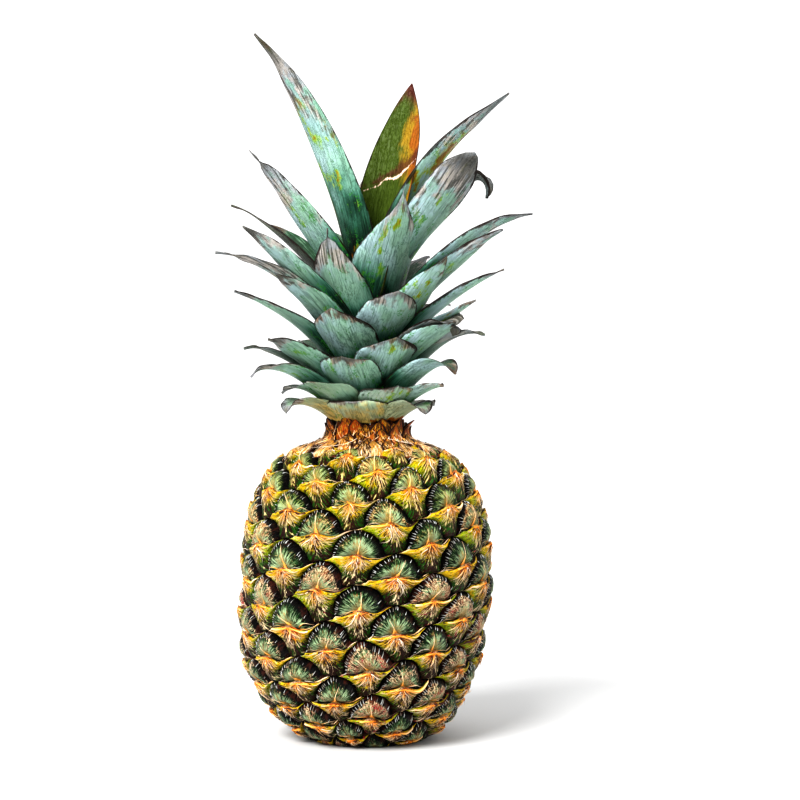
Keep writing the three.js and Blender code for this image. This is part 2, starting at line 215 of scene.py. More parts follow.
class Wire:
    """A shader socket that adds the Math nodes of an expression to its own node tree."""

    def __init__(self, tree, socket=None):
        self.tree = tree
        self.socket = socket

    def node(self, kind, settings=None, links=None, output=0):
        made = self.tree.nodes.new(kind)
        for key, value in (settings or {}).items():
            if key == "stops":
                ramp = made.color_ramp
                for _ in value[2:]:
                    ramp.elements.new(0.5)
                for element, (place, colour) in zip(ramp.elements, value):
                    element.position = place
                    element.color = (*colour, 1)
            else:
                setattr(made, key, value)
        for key, value in (links or {}).items():
            if isinstance(value, Wire):
                self.tree.links.new(value.socket, made.inputs[key])
            else:
                made.inputs[key].default_value = value
        return Wire(self.tree, made.outputs[output] if made.outputs else None)

    def math(self, operation, *others):
        links = {place: value for place, value in enumerate((self, *others))}
        return self.node("ShaderNodeMath", {"operation": operation}, links)

    def __add__(self, other):
        return self.math("ADD", other)

    __radd__ = __add__

    def __mul__(self, other):
        return self.math("MULTIPLY", other)

    __rmul__ = __mul__

    def __sub__(self, other):
        return self.math("SUBTRACT", other)

    def __rsub__(self, other):
        return (self * -1) + other

    def rise(self, low, high):
        """0 below low and 1 above high, with a smooth step between."""
        links = {"Value": self, "From Min": low, "From Max": high}
        return self.node("ShaderNodeMapRange", {"interpolation_type": "SMOOTHSTEP"}, links)

    def mix(self, zero, one, blend="MIX"):
        """A colour that goes from zero to one as this number does."""
        paint = [value if isinstance(value, Wire) else (*value, 1) for value in (zero, one)]
        settings = {"data_type": "RGBA", "blend_type": blend}
        return self.node("ShaderNodeMix", settings, {0: self, 6: paint[0], 7: paint[1]}, 2)

    def value(self, name):
        return self.node("ShaderNodeAttribute", {"attribute_name": name}, output=2)

    def values(self, names):
        """The numbers that the mesh holds at its points under these names."""
        return [self.value(name) for name in names.split()]

    def vector(self, x, y, z):
        return self.node("ShaderNodeCombineXYZ", links={0: x, 1: y, 2: z})

    def position(self):
        """The place of a point in its object's own coordinates."""
        return self.node("ShaderNodeTexCoord", output=3)

    def noise(self, place, scale, detail=2.0, roughness=0.5):
        links = {"Vector": place, "Scale": scale, "Detail": detail, "Roughness": roughness}
        return self.node("ShaderNodeTexNoise", links=links)

    def bump(self, height, distance, strength=1.0):
        links = {"Height": height, "Distance": distance, "Strength": strength}
        return self.node("ShaderNodeBump", links=links)


def new_material(name):
    """An empty node material, with the wire that its nodes are started from."""
    material = bpy.data.materials.new(name)
    material.use_nodes = True
    material.node_tree.nodes.clear()
    return material, Wire(material.node_tree)


def surface(start, colour, roughness, normal=None, **constants):
    """Joins the parts of a finish to the material's output. Constants stay on the shader's own sockets."""
    links = {"Base Color": colour, "Roughness": roughness}
    if normal is not None:
        links["Normal"] = normal
    links.update({key.replace("_", " "): value for key, value in constants.items()})
    shader = start.node("ShaderNodeBsdfPrincipled", links=links)
    start.node("ShaderNodeOutputMaterial", links={"Surface": shader})


# Colours of the rind, from the crevices out
CREVICE_SHADE = (0.003, 0.002, 0.002)
CREVICE_SHADE_BROWN = (0.065, 0.017, 0.010)
DOME_DARK = (0.002, 0.005, 0.002)
DOME_GREEN = (0.014, 0.085, 0.012)
DOME_PALE = (0.52, 0.70, 0.40)
DOME_CREAM = (0.70, 0.48, 0.16)
DOME_BROWN = (0.34, 0.12, 0.05)
BRACT_ORANGE = (0.84, 0.19, 0.014)
BRACT_YELLOW = (0.95, 0.60, 0.010)
BRACT_LIME = (0.46, 0.58, 0.012)
BRACT_GREEN = (0.018, 0.110, 0.006)
BRACT_CREAM = (0.98, 0.75, 0.47)
BRACT_PINK = (0.66, 0.28, 0.20)
BRACT_BROWN = (0.030, 0.009, 0.006)
BERRY_RED = (0.55, 0.03, 0.06)
RIPE_YELLOW = (0.95, 0.66, 0.10)


def rind_material():
    material, start = new_material("pineapple_rind")
    across, up, seed, height = start.values("across up seed height")
    side = across.math("ABSOLUTE")
    over = up - 0.03
    reach = (across * across + over * over).math("SQRT")
    angle = over.math("ARCTAN2", across)
    inside = 1 - side - up.math("ABSOLUTE")
    rays = start.noise(start.vector(angle * 5.5, reach * 1.6, seed * 37), 2.2, 3, 0.6).rise(0.32, 0.68)
    fine = start.noise(start.vector(angle * 15, reach * 3, seed * 91), 2.0, 2, 0.6).rise(0.34, 0.66)
    blotches = start.noise(start.vector(across * 1.5, up * 1.5, seed * 53), 2.4, 3, 0.6).rise(0.3, 0.7)
    crumbs = start.noise(start.vector(across * 8, up * 8, seed * 71), 2.5, 4, 0.7).rise(0.36, 0.64)
    gaps = (1 - fine) * 0.6 + (1 - rays) * 0.5
    age = height.rise(0.75, 0.15)

    # The bract: orange at the knot, yellow and lime along the wings, washed with cream below the knot and
    # green towards its lower corner, with dark brown between its fibres
    warm = reach * 1.5 + blotches * 0.4 + seed * 0.3 + rays * 0.3 - age * 0.1
    warm = warm.rise(0.55, 0.95).mix(BRACT_ORANGE, BRACT_YELLOW)
    limy = (side * 0.6 - up * 0.9 + blotches * 0.6 + seed * 0.5 + fine * 0.2).rise(1.0, 1.4)
    bract = limy.mix(warm, BRACT_LIME)
    low = (rays * 0.35 + fine * 0.2 - up * 1.3 - seed * 0.15 + blotches * 0.2).rise(0.76, 1.05)
    bract = low.mix(bract, BRACT_GREEN)
    veins = (gaps + side * 0.15 - up * 0.4).rise(0.80, 1.06)
    bract = (veins * 0.75).mix(bract, BRACT_GREEN)
    glints = (fine * 0.6 + rays * 0.3 + blotches * 0.3 + up * 0.4).rise(0.78, 1.0)
    bract = (glints * 0.8).mix(bract, BRACT_CREAM)
    pale = (blotches * 0.6 + rays * 0.4).rise(0.35, 0.65).mix(BRACT_PINK, BRACT_CREAM)
    middle = (up + 0.24).math("ABSOLUTE")
    wash = fine * 0.45 + rays * 0.35 + blotches * 0.35 - side * 0.7 - middle * 0.7 + age * 0.06
    bract = (wash.rise(0.36, 0.60) * 0.9).mix(bract, pale)
    worn = (gaps + crumbs * 0.3 - up * 0.5 - side * 0.35 + age * 0.10).rise(0.84, 1.06)
    bract = worn.mix(bract, BRACT_BROWN)

    # The dome: pale by the spine, then green, all streaked from the spine, with painted near-black shade
    # round its rim where it dips into the crevice
    shade = (reach * 1.1 + (1 - rays) * 0.45 + blotches * 0.45).rise(0.62, 1.10)
    dome = shade.mix(DOME_PALE, DOME_GREEN)
    sheen = (fine * 0.5 + rays * 0.35 + blotches * 0.3 - reach * 0.3).rise(0.55, 0.85)
    dome = (sheen * 0.7).mix(dome, DOME_PALE)
    dome = (gaps + reach * 0.5).rise(0.72, 1.05).mix(dome, DOME_DARK)
    # Painted shade: the dome's rim is painted near black, dark brown in places, where it dips into the
    # crevice
    painted_rim_shade = (blotches * 0.6 + crumbs * 0.5 + seed * 0.3).rise(0.85, 1.10).mix(DOME_DARK, CREVICE_SHADE_BROWN)
    dome = (inside + fine * 0.14 + crumbs * 0.06).rise(0.50, 0.27).mix(dome, painted_rim_shade)
    husk = (fine * 0.6 + crumbs * 0.4).rise(0.4, 0.7).mix(DOME_BROWN, BRACT_CREAM)
    husk = (gaps + crumbs * 0.2).rise(0.80, 1.05).mix(husk, BRACT_BROWN)
    dried = (seed * 0.75 + blotches * 0.5 + crumbs * 0.45 + age * 0.14).rise(1.02, 1.30)
    dome = (dried * 0.9).mix(dome, husk)
    ridge = (side * 2.2 + up * 1.1 + fine * 0.5 + blotches * 0.3).rise(1.05, 0.45)
    dome = ridge.mix(dome, DOME_CREAM)
    shadow = up.rise(0.13, 0.03) * side.rise(0.06, 0.2)
    dome = shadow.mix(dome, DOME_DARK)

    # All of it: yellower towards the neck, with a few red specks lower down, and painted near-black shade,
    # dark brown in places, in the crevices
    colour = up.rise(-0.004, 0.02).mix(bract, dome)
    ripe = (height + (blotches - 0.5) * 0.3).rise(0.55, 0.98)
    colour = (ripe * 0.6).mix(colour, RIPE_YELLOW, "SOFT_LIGHT")
    speck = (crumbs * 0.6 + blotches * 0.5 + seed * 0.5 + side * 0.2 - height * 0.4).rise(1.29, 1.35)
    colour = speck.mix(colour, BERRY_RED)
    # Painted shade: the crevices between the eyes are painted near black, dark brown in places
    outline = (inside + fine * 0.03) - up.rise(-0.02, 0.05) * 0.13
    crevice_shade_browning = (blotches * 0.7 + crumbs * 0.3 + seed * 0.3 + age * 0.15).rise(0.75, 1.10)
    colour = outline.rise(0.09, 0.04).mix(colour, crevice_shade_browning.mix(CREVICE_SHADE, CREVICE_SHADE_BROWN))
    relief = start.bump(rays * 0.6 + fine * 0.8 + crumbs * 0.3, 0.0009, 1.0)
    surface(start, colour, 0.28 + 0.3 * rays, relief, Specular_IOR_Level=0.22)
    return material


def repeated(faces, copies, points):
    """The faces of many copies of a mesh that has that many points, one copy after another."""
    return (faces[None] + (np.arange(copies) * points)[:, None, None]).reshape(-1, faces.shape[1])


def rind():
    """Each eye is a square grid turned on its corner, so its rows run level under the bract's free edge."""
    side = EYE_GRID + 1
    index = np.arange(FIRST_EYE, LAST_EYE + 1).reshape(-1, 1, 1)
    steps = np.linspace(-0.5, 0.5, side)
    left, right = np.meshgrid(steps, steps, indexing="ij")
    across = np.broadcast_to(right - left, (len(index), side, side))
    up = np.broadcast_to(left + right, across.shape)
    points = eye_surface(index, across, up)
    free_edge = np.abs(up) < 1e-6
    points[:, :, :, 2] += FREE_EDGE_LIFT * free_edge * (1 - np.abs(across))
    points = points.reshape(-1, 3)
    i, j = np.meshgrid(np.arange(EYE_GRID), np.arange(EYE_GRID), indexing="ij")
    corner = (i * side + j).ravel()
    halves = [
        np.stack([corner, corner + 1, corner + side], axis=1),
        np.stack([corner + 1, corner + side + 1, corner + side], axis=1),
    ]
    faces = repeated(np.concatenate(halves), len(index), side * side)
    keep = points[faces][:, :, 2].max(axis=1) < RIND_TOP
    keep &= np.hypot(points[:, 0], points[:, 1])[faces].min(axis=1) > STALK_HOLE_RADIUS
    seed = np.broadcast_to(chance(index, 9), across.shape)
    height = points[:, 2] / NECK_HEIGHT
    return build_mesh("rind_of_eyes", points, faces[keep][:, ::-1], rind_material(),
                      across=across, up=up, seed=seed, height=height)


def unit(vectors):
    return vectors / (np.linalg.norm(vectors, axis=-1, keepdims=True) + 1e-12)


def tube_faces(rows, columns):
    """The four-sided faces of a grid whose rows close on themselves."""
    row = np.arange(rows - 1)[:, None] * columns
    here = np.arange(columns)[None]
    there = (here + 1) % columns
    corners = [row + here, row + there, row + columns + there, row + columns + here]
    return np.stack(corners, axis=-1).reshape(-1, 4)


def build_strands(name, paths, widths, material, sides=3, flat=0.7, **values):
    """Tapered tubes as one mesh. Paths is (strands, stations, 3), and widths and values fit its first two."""
    count, stations, _ = paths.shape
    ahead = unit(np.gradient(paths, axis=1))
    out = unit(paths * np.array([1, 1, 0.15]))
    beside = unit(np.cross(ahead, out))
    above = np.cross(beside, ahead)
    turn = np.arange(sides) * 2 * math.pi / sides + math.pi / 2
    ring = np.cos(turn)[:, None] * beside[:, :, None] + flat * np.sin(turn)[:, None] * above[:, :, None]
    points = paths[:, :, None] + ring * widths[:, :, None, None] / 2
    quads = tube_faces(stations, sides)
    last = (stations - 1) * sides
    fan = range(1, sides - 1)
    caps = [[0, k + 1, k] for k in fan] + [[last, last + k, last + k + 1] for k in fan]
    one = np.concatenate([quads[:, [0, 1, 2]], quads[:, [0, 2, 3]], caps])
    faces = repeated(one, count, stations * sides)
    spread = {key: np.broadcast_to(number[:, :, None], ring.shape[:3]) for key, number in values.items()}
    return build_mesh(name, points.reshape(-1, 3), faces[:, ::-1], material, **spread)


# Colours of a dry fibre, along it from its root and where it is brown or pale all along, and of the fringe
FIBRE_STOPS = (
    (0.0, (0.80, 0.24, 0.02)),
    (0.3, (0.95, 0.48, 0.12)),
    (0.6, (0.98, 0.76, 0.50)),
    (1.0, (0.74, 0.42, 0.26)),
)
FIBRE_BROWN = (0.07, 0.022, 0.012)
FIBRE_CREAM = (0.95, 0.80, 0.66)
FRINGE_WHITE = (0.66, 0.68, 0.66)
FRINGE_GREY = (0.26, 0.24, 0.20)


def fibre_material():
    material, start = new_material("dry_fibres")
    along, seed = start.values("along seed")
    tone = start.node("ShaderNodeValToRGB", {"stops": FIBRE_STOPS}, {0: along})
    colour = seed.rise(0.72, 0.78).mix(tone, FIBRE_BROWN)
    colour = seed.rise(0.20, 0.12).mix(colour, FIBRE_CREAM)
    surface(start, colour, 0.55, Specular_IOR_Level=0.25)
    return material


def fringe_material():
    material, start = new_material("pale_fringe")
    colour = start.value("seed").rise(0.2, 0.9).mix(FRINGE_WHITE, FRINGE_GREY)
    surface(start, colour, 0.55)
    return material


def along_strand(stations):
    """Places along a strand, from 0 at its root to 1 at its end."""
    return np.linspace(0, 1, stations)[None]


def eye_threads(index, t, start, finish, lifts, bend):
    """The paths of strands over the eyes, each from one place in its eye to another, lifted on the way."""
    sag = bend * np.sin(np.pi * t)
    run_across = finish[0] - start[0]
    run_up = finish[1] - start[1]
    across = start[0] + run_across * t - run_up * sag
    up = start[1] + run_up * t + run_across * sag
    return eye_surface(index, across, up, lifts)


def strands_on_eyes(count):
    """For that many strands on every eye that can be seen, the number of its eye and its own place there."""
    index = np.arange(FIRST_EYE, LAST_EYE + 1)
    length = EYE_RISE * index
    index = index[(length > BARE_BOTTOM) & (length < RIND_LENGTH - BARE_TOP)]
    return np.repeat(index, count)[:, None], np.tile(np.arange(count), len(index))[:, None]


def spines():
    """The dry spine that stands up from the middle of each eye, broad at its foot."""
    eyes, _ = strands_on_eyes(1)
    t = along_strand(9)
    finish = (0.4 * (chance(eyes, 31) - 0.5), 0.3 + 0.5 * chance(eyes, 32))
    lifts = 0.0001 + 0.0010 * t + 0.0014 * (chance(eyes, 33) - 0.3) * t**2
    bend = 0.16 * (chance(eyes, 34) - 0.5)
    foot = np.clip(1 - t / (0.32 + 0.16 * chance(eyes, 37)), 0, 1)
    width = 0.00050 * (1.25 - t) + 0.0046 * foot**1.3 * (0.5 + 0.6 * chance(eyes, 35))
    seed = 0.17 + 0.5 * chance(eyes, 36)
    paths = eye_threads(eyes, t, (0, -0.05), finish, lifts, bend)
    return build_strands("eye_spines", paths, width, fibre_material(), 4, 0.3, along=t * 0.9, seed=seed)


def rims():
    """The dried rim of each bract's free edge, which runs out past the eye as a point at each side."""
    eyes, order = strands_on_eyes(2)
    hand = 2 * order - 1
    key = eyes * 2 + hand
    t = along_strand(12)
    finish = (hand * (0.90 + 0.14 * chance(key, 61)), 0.03 + 0.09 * (chance(key, 62) - 0.4))
    lifts = 0.0001 + 0.0009 * t**3 * chance(key, 63)
    bend = 0.05 * (chance(key, 66) - 0.5)
    taper = np.sin(np.pi * (0.12 + 0.88 * t)) ** 0.7
    width = (0.0004 + 0.0008 * chance(key, 64)) * taper + 0.0002
    tone = 0.1 + t * (0.3 + 0.6 * chance(key, 67))
    seed = 0.22 + 0.68 * chance(key, 68)
    paths = eye_threads(eyes, t, (0.03 * hand, -0.02), finish, lifts, bend)
    return build_strands("bract_rims", paths, width, fibre_material(), 4, 0.45, along=tone, seed=seed)


def fibres():
    """Dry fibres that fray from each bract's knot, down over the bract and out along its wings."""
    eyes, order = strands_on_eyes(FIBRES_PER_EYE)
    key = eyes * 31 + order * 7
    t = along_strand(6)
    spread = (order + chance(key, 41)) / FIBRES_PER_EYE
    down = math.pi * (0.5 + 0.62 * (spread - 0.5))
    along_wing = math.pi * np.round(chance(key, 49)) + 0.16 * (chance(key, 50) - 0.5)
    heading = -np.where(chance(key, 40) < 0.72, down, along_wing)
    root = 0.02 + 0.22 * chance(key, 42)
    reach = root + 0.14 + 0.46 * chance(key, 43) ** 2 + 0.28 * np.abs(np.cos(heading)) ** 3
    start = (root * np.cos(heading), 0.02 + root * np.sin(heading))
    finish = (reach * np.cos(heading), 0.02 + reach * np.sin(heading))
    lifts = 0.0002 + 0.0016 * chance(key, 44) ** 3 * t**1.5
    bend = 0.6 * (chance(key, 45) - 0.5)
    width = (0.00022 + 0.00042 * chance(key, 46) ** 2) * (1.15 - t)
    paths = eye_threads(eyes, t, start, finish, lifts, bend)
    return build_strands("bract_fibres", paths, width, fibre_material(), along=t, seed=chance(key, 48))


def fringe():
    """The short white teeth along the upper rim of each eye, thickest at its left."""
    eyes, order = strands_on_eyes(TEETH_PER_EYE)
    key = eyes * 53 + order * 11
    place = -0.94 + 1.7 * (order + 0.7 * chance(key, 51)) / TEETH_PER_EYE
    keep = (chance(key, 52) < np.where(place < 0.12, 0.9, 0.35))[:, 0]
    eyes, key, place = eyes[keep], key[keep], place[keep]
    t = along_strand(3)
    inner = 0.80 + 0.06 * chance(key, 58)
    outer = 0.93 + 0.08 * chance(key, 53)
    lean = 0.03 * (chance(key, 54) - 0.5)
    start = (place * inner, (1 - np.abs(place)) * inner)
    finish = (place * outer + lean, (1 - np.abs(place)) * outer)
    lifts = 0.0002 + 0.0011 * t * (0.4 + chance(key, 55))
    paths = eye_threads(eyes, t, start, finish, lifts, 0)
    width = 0.00042 * (1.2 - t)
    return build_strands("eye_fringe", paths, width, fringe_material(), seed=chance(key, 57))


for piece in (rind(), spines(), rims(), fibres(), fringe()):
    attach(piece, "root")
    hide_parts("fruit")


# Cut stalk
# The end of the woody stalk that the fruit grew on, sawn flush with the base. Its face has dried brown, with
# the pale ends of its fibres.
STALK_TAN = (0.50, 0.36, 0.19)
STALK_BROWN = (0.30, 0.18, 0.08)
STALK_FIBRE = (0.72, 0.58, 0.36)


def stalk_material():
    material, start = new_material("cut_stalk_fibres")
    place = start.position()
    speckle = start.node("ShaderNodeTexVoronoi", links={"Vector": place, "Scale": 900.0})
    stain = start.noise(place, 160.0, 4)
    dots = speckle.rise(0.28, 0.12)
    colour = dots.mix(stain.rise(0.35, 0.65).mix(STALK_TAN, STALK_BROWN), STALK_FIBRE)
    surface(start, colour, 0.9, start.bump(dots + stain, 0.0004, 0.8))
    return material


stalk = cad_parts["cut_stalk"]
stalk.data.materials.clear()
stalk.data.materials.append(stalk_material())


# Crown
# The leafy shoot on top: a short stem hidden by stiff leaves that wrap it in a spiral. The leaves are thick,
# hollow along the inside, blue-green under a pale wax, and dry and curled at their tips.
STEM = {"bottom": 0.1578, "top": 0.224, "bottom_radius": 0.020, "top_radius": 0.006}
LEAF_THICKNESS = 0.0016
LEAF_ROOT_DEPTH = 0.004
LEAF_STATIONS = 44
LEAF_COLUMNS = 12
# The leaves at the back: how many, where they start and how far round they spread (degrees), and how high
# their lowest root is and how far the roots rise (millimetres)
BACK_LEAVES = 18
BACK_START = 126
BACK_SPREAD = 108
BACK_LOWEST_ROOT = 157
BACK_ROOT_RISE = 62
GOLDEN_ANGLE = 137.5
# The one that stays hidden behind the tall leaves at the left, and how many millimetres it is shorter
SHORTER_BACK_LEAF = {15: 11}
# The numbers that the leaves in the middle, at the top and at the back count from
MIDDLE_FIRST = 16
UPPER_FIRST = 28
BACK_FIRST = 50

# Each leaf: the height of its root, its tip's place (right, back and up) and its width in millimetres; how
# far its tip curls over and its blade rolls over (degrees); and how dry, how yellow and how red it is, with
# a negative red for how far painted shade darkens one that shows its shaded inside. Some also have the hook
# of their last bit (radians), a blunt end, a cusp, which draws the tip out thin, or a bow to one side
# (millimetres).
FRONT_LEAVES = [
    (155, -9, -31, 167.5, 40, -15, 0, 0.35, 0.6, 0.1),
    (156, -40, -24, 162, 24, 75, 0, 0.6, 0.5, 0.1),
    (156, 29, -28, 161.5, 26, 70, 0, 0.35, 0.3, 0.0),
    (158, 15, -37, 175, 30, -15, 0, 0.25, 0.5, 0.0, {"blunt": 1.5}),
    (158, -29, -38, 176.5, 30, 15, 0, 0.15, 0.1, 0.0),
    (159, -41, -24, 171, 22, 70, 0, 0.6, 0.2, 0.0),
    (159, 37, -32, 175, 24, 15, 0, 0.2, 0.3, 0.0),
    (163, -12.5, -41, 189, 31, -10, 0, 0.3, 0.4, 0.0, {"blunt": 2.5}),
    (162, 43, -38, 181, 27, 70, 0, 0.25, 0.2, 0.0),
    (160, -57, -30, 181, 26, 45, 0, 0.5, 0.3, 0.0),
    (168, 14, -42, 198, 31, -15, 0, 0.3, 0.3, 0.0, {"blunt": 2.5}),
    (166, -60, -20, 196, 22, 10, 0, 0.7, 0.1, -0.6),
    (165, -47, -40, 198, 28, 5, 10, 0.4, 0.2, 0.0),
    (172, 46, -42, 203, 24, 60, 15, 0.9, 0.1, -0.5, {"hook": 1.6, "blunt": 1.5}),
    (166, 57, -32, 200, 26, 40, 0, 0.95, 0.2, -0.5),
    (170, 42, -42, 206, 28, 5, -10, 0.2, 0.4, 0.0),
    (176, -17, -43, 212, 32, -15, 0, 0.22, 0.1, 0.0, {"blunt": 1.5}),
    (176, 52, -38, 216, 26, 5, 0, 0.25, 0.5, 0.0),
    (177, -64, -34, 220, 24, 15, 0, 0.5, 0.2, 0.0),
    (184, 15, -42, 220, 31, -15, 0, 0.35, 0.4, 0.0, {"blunt": 2}),
    (183, 66, -30, 232, 24, 5, 0, 0.45, 0.2, 0.0),
    (182, 38, -44, 236, 30, 0, -15, 0.2, 0.5, 0.0),
    (184, -44, -44, 230, 28, 5, 15, 0.35, 0.5, 0.0),
    (186, -73, -34, 239, 24, 30, 10, 0.8, 0.5, 0.0),
    (190, -19.5, -39, 250, 33, -15, 0, 0.7, 0.1, 0.0, {"hook": -0.1, "blunt": 1.4, "cusp": 0.5, "bow": -3}),
    (189, 65, -38, 250, 26, 8, -20, 0.4, 0.6, 0.0),
    (190, -59, -40, 252, 27, 0, 20, 0.4, 0.2, 0.0),
    (195, 79, -30, 262, 24, 10, -20, 0.5, 0.3, 0.0),
    (200, -67, 6, 269, 24, 5, 0, 0.5, 0.1, -0.9),
    (201, 18, -35, 269, 38, -15, 0, 0.5, 0.5, 0.0, {"hook": -0.1, "blunt": 1.7, "cusp": 0.9, "bow": 1}),
    (206, 51, -34, 288, 26, -10, -30, 0.62, 0.3, 0.0, {"hook": 0.2, "blunt": 4, "cusp": -0.4}),
    (204, 62, -16, 287, 26, 8, -15, 0.8, 0.2, -0.5, {"hook": 2.4, "blunt": 2, "cusp": -0.3}),
    (202, -56, -34, 289, 35, 0, 25, 0.7, 0.3, 0.0, {"hook": 0.1, "blunt": -0.4, "cusp": 0.1}),
    (212, -53, -24, 348, 42, 8, 35, 0.65, 0.85, 0.0, {"hook": 0.15, "blunt": -0.65, "cusp": 0.05}),
    (214, 70, -12, 320, 34, 16, -35, 0.55, 1.35, 0.0, {"blunt": -0.4, "cusp": 0.1}),
    (218, 23, 18, 330, 44, 10, 30, 0.12, 1.0, 0.8, {"cusp": -0.05, "bow": -7}),
]
HEART_LEAVES = [
    (205, -4, 12, 244, 20, -20, 0, 0.45, 0.0, 0.0),
    (208, 9, -3, 240, 18, -20, 0, 0.45, 0.0, 0.0),
    (208, -9, -4, 236, 18, -20, 0, 0.45, 0.0, 0.0),
]


def back_leaves():
    """The leaves behind, which rise up the stem and turn round it by the golden angle."""
    rows = []
    for index in range(BACK_LEAVES):
        rise = (index / BACK_LEAVES) ** 1.25
        azimuth = math.radians(BACK_START + BACK_SPREAD * ((index * GOLDEN_ANGLE) % 360) / 360)
        root = BACK_LOWEST_ROOT + BACK_ROOT_RISE * rise
        reach = 38 + 22 * math.sin(2.2 * rise) + 6 * chance(index, 1)
        tip = root + 9 + 72 * rise + 7 * chance(index, 2) - SHORTER_BACK_LEAF.get(index, 0)
        width = 25 + 3.5 * math.sin(math.pi * rise) + 1.5 * chance(index, 3)
        curl = 8 + 50 * (1 - rise) * chance(index, 4)
        dry = 0.2 + 0.4 * chance(index, 61)
        yellow = 0.5 * chance(index, 62)
        place = (reach * math.sin(azimuth), -reach * math.cos(azimuth), tip)
        rows.append((root, *place, width, curl, 0, dry, yellow, 0))
    return rows


def stem_radius(height):
    share = (height - STEM["bottom"]) / (STEM["top"] - STEM["bottom"])
    return STEM["bottom_radius"] + (STEM["top_radius"] - STEM["bottom_radius"]) * share


def bezier(a, b, c, d, t):
    rest = 1 - t
    return rest**3 * a + 3 * rest**2 * t * b + 3 * rest * t**2 * c + t**3 * d


def leaf_line(root, tip, curl, hook):
    """The middle line of a leaf, as places out from the stem and up, which may hook over at its end."""
    chord = tip - root
    span = np.hypot(*chord)
    heading = math.atan2(chord[1], chord[0])
    bend = math.radians(curl)
    first = min(heading + 0.3 + 0.28 * max(0, bend), 1.5)
    last = heading - 0.12 - bend
    root_handle = root + 0.42 * span * np.array([math.cos(first), math.sin(first)])
    tip_handle = tip - 0.3 * span * np.array([math.cos(last), math.sin(last)])
    t = np.linspace(0, 1, LEAF_STATIONS)[:, None]
    line = bezier(root, root_handle, tip_handle, tip, t)
    step = np.diff(line, axis=0)
    droop = hook * smooth(t[1:, 0], 0.80, 1.0)
    step = np.stack([step[:, 0] * np.cos(droop) + step[:, 1] * np.sin(droop),
                     step[:, 1] * np.cos(droop) - step[:, 0] * np.sin(droop)], axis=1)
    line[1:] = line[0] + np.cumsum(step, axis=0)
    return line


def round_blade(first, second):
    """A grid that runs across one face of a blade and back along the other."""
    return np.concatenate([first, second[:, ::-1]], axis=1)


def blade_places(t, u):
    """How far along and across a blade each of its points is."""
    t, u = np.broadcast_arrays(t, u)
    return {"along": round_blade(t, t), "across": round_blade(u, u)}


def leaf_grid(row, number):
    """One leaf as a grid of (stations, columns of both faces, 3), with the values that its finish needs."""
    root_height, right, back, tip_height, width, curl, roll, dry, yellow, red = row[:10]
    extra = row[10] if len(row) > 10 else {}
    hook = extra.get("hook", 0 if extra else dry * (chance(number, 72) - 0.25))
    root = np.array([stem_radius(root_height / 1000) - LEAF_ROOT_DEPTH, root_height / 1000])
    tip = np.array([math.hypot(right, back), tip_height]) / 1000
    azimuth = math.atan2(right, -back)
    span = np.hypot(*(tip - root))
    line = leaf_line(root, tip, curl, hook)
    ahead = unit(np.gradient(line, axis=0))
    t = np.linspace(0, 1, LEAF_STATIONS)[:, None]
    u = np.linspace(-1, 1, LEAF_COLUMNS + 1)[None]
    point = (2.8 if span < 0.06 else 1.7) + extra.get("blunt", 0)
    cusp = 1 + extra.get("cusp", 0)
    half = 0.5 * width / 1000 * ((0.86 + 0.4 * t) * (1 - t**point) ** cusp + 0.012)
    wrap = 0.95 - 0.60 * t + dry * 0.7 * smooth(t, 0.75, 1.0) * math.sin(number * 2.3)
    arc = half / np.maximum(np.abs(wrap), 0.15)
    wave = 0.0008 * np.sin(9 * t + number) * u**2 * smooth(t, 0.2, 0.8)
    wave = wave + 0.0006 * dry * np.sin(31 * t + 2 * number) * u * smooth(t, 0.6, 0.9)
    thin = 0.5 * LEAF_THICKNESS * (1 - 0.8 * u**2) * (1 - 0.6 * t)
    turn = math.radians(roll) * t + 0.5 * dry * smooth(t, 0.8, 1.0) * math.sin(number * 5.1)
    bow = 0.001 * extra.get("bow", 0) * np.sin(math.pi * t)
    faces = []
    for face in (-1, 1):
        radius = arc - face * thin
        beside = radius * np.sin(wrap * u) + bow
        above = arc - radius * np.cos(wrap * u) + wave
        across = beside * np.cos(turn) - above * np.sin(turn)
        inward = beside * np.sin(turn) + above * np.cos(turn)
        out = line[:, :1] - ahead[:, 1:] * inward
        height = line[:, 1:] + ahead[:, :1] * inward
        faces.append(np.stack([out * math.sin(azimuth) + across * math.cos(azimuth),
                               -out * math.cos(azimuth) + across * math.sin(azimuth), height], axis=-1))
    points = round_blade(*faces)

    # No leaf reaches below the crown's uneven foot. Low is 1 for the lowest leaves, whose feet can be seen.
    foot = STEM["bottom"] - 0.0012 - 0.0008 * np.sin(3 * np.arctan2(points[:, :, 1], points[:, :, 0]))
    points[:, :, 2] = np.maximum(points[:, :, 2], foot)
    low = np.clip((160 - root_height) / 4, 0, 1)
    places = blade_places(t, u)
    values = {
        **places,
        "inner": round_blade(np.zeros_like(wave), np.ones_like(wave)),
        "long": places["along"] * span * 100,
        "wide": round_blade(u * half, u * half) * 100,
        "foot": low * np.clip((points[:, :, 2] - foot) / 0.005, 0, 1) + (1 - low),
    }
    steady = {"seed": chance(number, 71), "dry": dry, "low": low, "yellow": yellow,
              "red": max(red, 0), "dark": max(-red, 0)}
    values.update({key: np.full(foot.shape, float(value)) for key, value in steady.items()})
    return points, values


def blade_faces(stations, ring):
    """The faces of a closed blade: its two sides, and then its shut root and tip."""
    near = np.arange(ring // 2 - 1)
    far = ring - 1 - near
    root = np.stack([near, far, far - 1, near + 1], axis=1)
    tip = root[:, ::-1] + (stations - 1) * ring
    return np.concatenate([tube_faces(stations, ring), root, tip])


